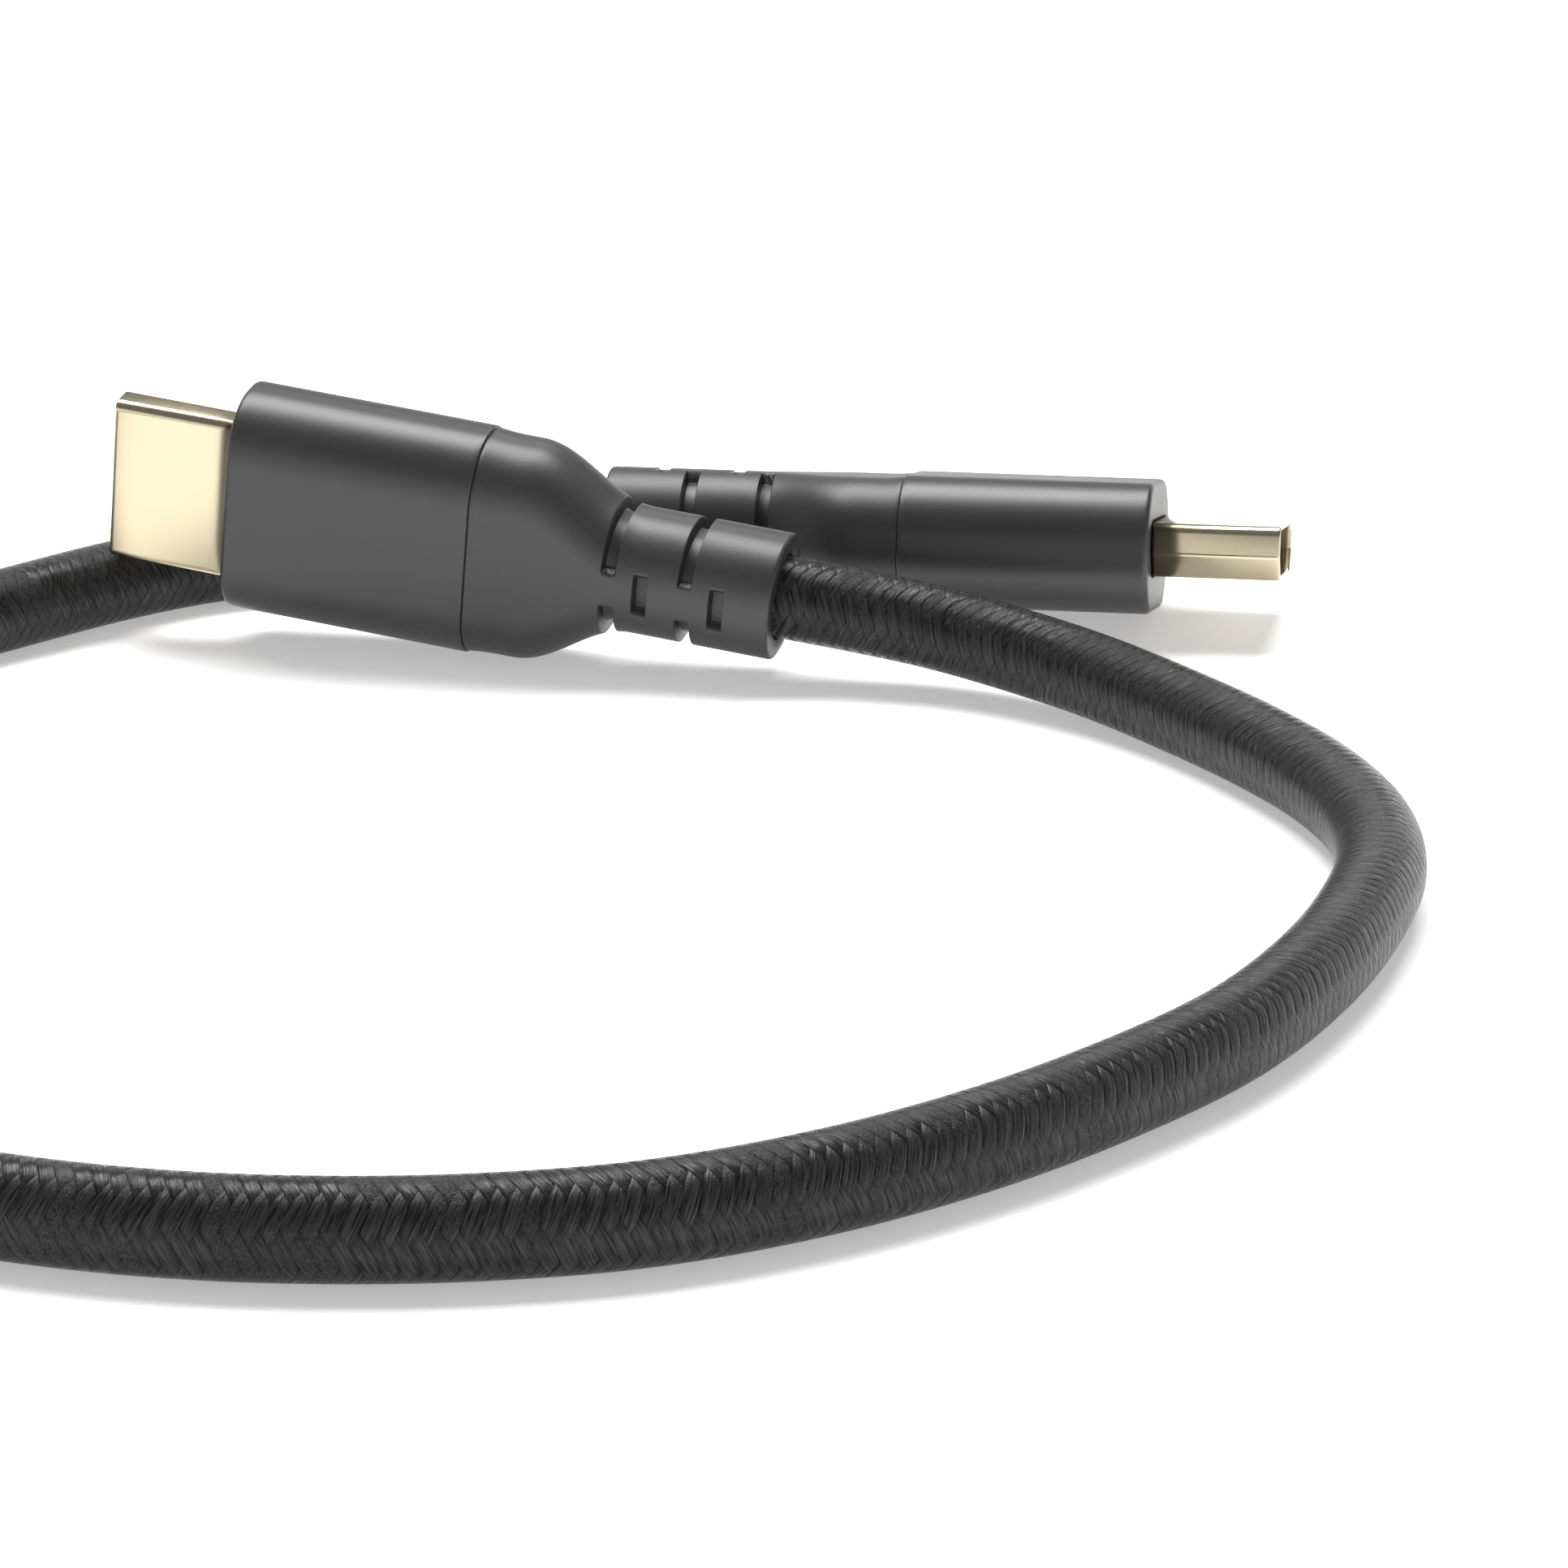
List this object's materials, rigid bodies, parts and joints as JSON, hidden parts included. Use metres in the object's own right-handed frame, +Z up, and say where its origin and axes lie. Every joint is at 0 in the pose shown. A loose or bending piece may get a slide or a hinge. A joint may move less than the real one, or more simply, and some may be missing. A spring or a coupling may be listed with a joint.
{
  "type": "hdmi cable",
  "caption": "Short braided HDMI cable lying in one loop, with a gold-plated Type A plug, a smooth black housing and a slotted strain relief on each end",
  "frame": {"origin": "On the floor, under the middle of the two plugs' common box", "axes": "+Z up from the floor, +X along the two plugs, from plug A's mouth towards plug B's, and +Y from the loop's far bend towards the plugs"},
  "size_m": [0.143, 0.1582, 0.0218],
  "materials": {
    "cable_braid": "satin",
    "shell_plating": "polished gold plating",
    "contact_plating": "polished gold plating",
    "block_plastic": "matte",
    "housing_plastic": "satin",
    "boot_plastic": "satin"
  },
  "bodies": {
    "root": {"cable": "cable_braid", "plug_a_shell": "shell_plating", "plug_a_contact_block": "block_plastic", "plug_a_housing": "housing_plastic", "plug_a_boot": "boot_plastic", "plug_a_contact_1": "contact_plating", "plug_a_contact_2": "contact_plating", "plug_a_contact_3": "contact_plating", "plug_a_contact_4": "contact_plating", "plug_a_contact_5": "contact_plating", "plug_a_contact_6": "contact_plating", "plug_a_contact_7": "contact_plating", "plug_a_contact_8": "contact_plating", "plug_a_contact_9": "contact_plating", "plug_a_contact_10": "contact_plating", "plug_a_contact_11": "contact_plating", "plug_a_contact_12": "contact_plating", "plug_a_contact_13": "contact_plating", "plug_a_contact_14": "contact_plating", "plug_a_contact_15": "contact_plating", "plug_a_contact_16": "contact_plating", "plug_a_contact_17": "contact_plating", "plug_a_contact_18": "contact_plating", "plug_a_contact_19": "contact_plating", "plug_b_shell": "shell_plating", "plug_b_contact_block": "block_plastic", "plug_b_housing": "housing_plastic", "plug_b_boot": "boot_plastic", "plug_b_contact_1": "contact_plating", "plug_b_contact_2": "contact_plating", "plug_b_contact_3": "contact_plating", "plug_b_contact_4": "contact_plating", "plug_b_contact_5": "contact_plating", "plug_b_contact_6": "contact_plating", "plug_b_contact_7": "contact_plating", "plug_b_contact_8": "contact_plating", "plug_b_contact_9": "contact_plating", "plug_b_contact_10": "contact_plating", "plug_b_contact_11": "contact_plating", "plug_b_contact_12": "contact_plating", "plug_b_contact_13": "contact_plating", "plug_b_contact_14": "contact_plating", "plug_b_contact_15": "contact_plating", "plug_b_contact_16": "contact_plating", "plug_b_contact_17": "contact_plating", "plug_b_contact_18": "contact_plating", "plug_b_contact_19": "contact_plating"}
  },
  "joints": []
}
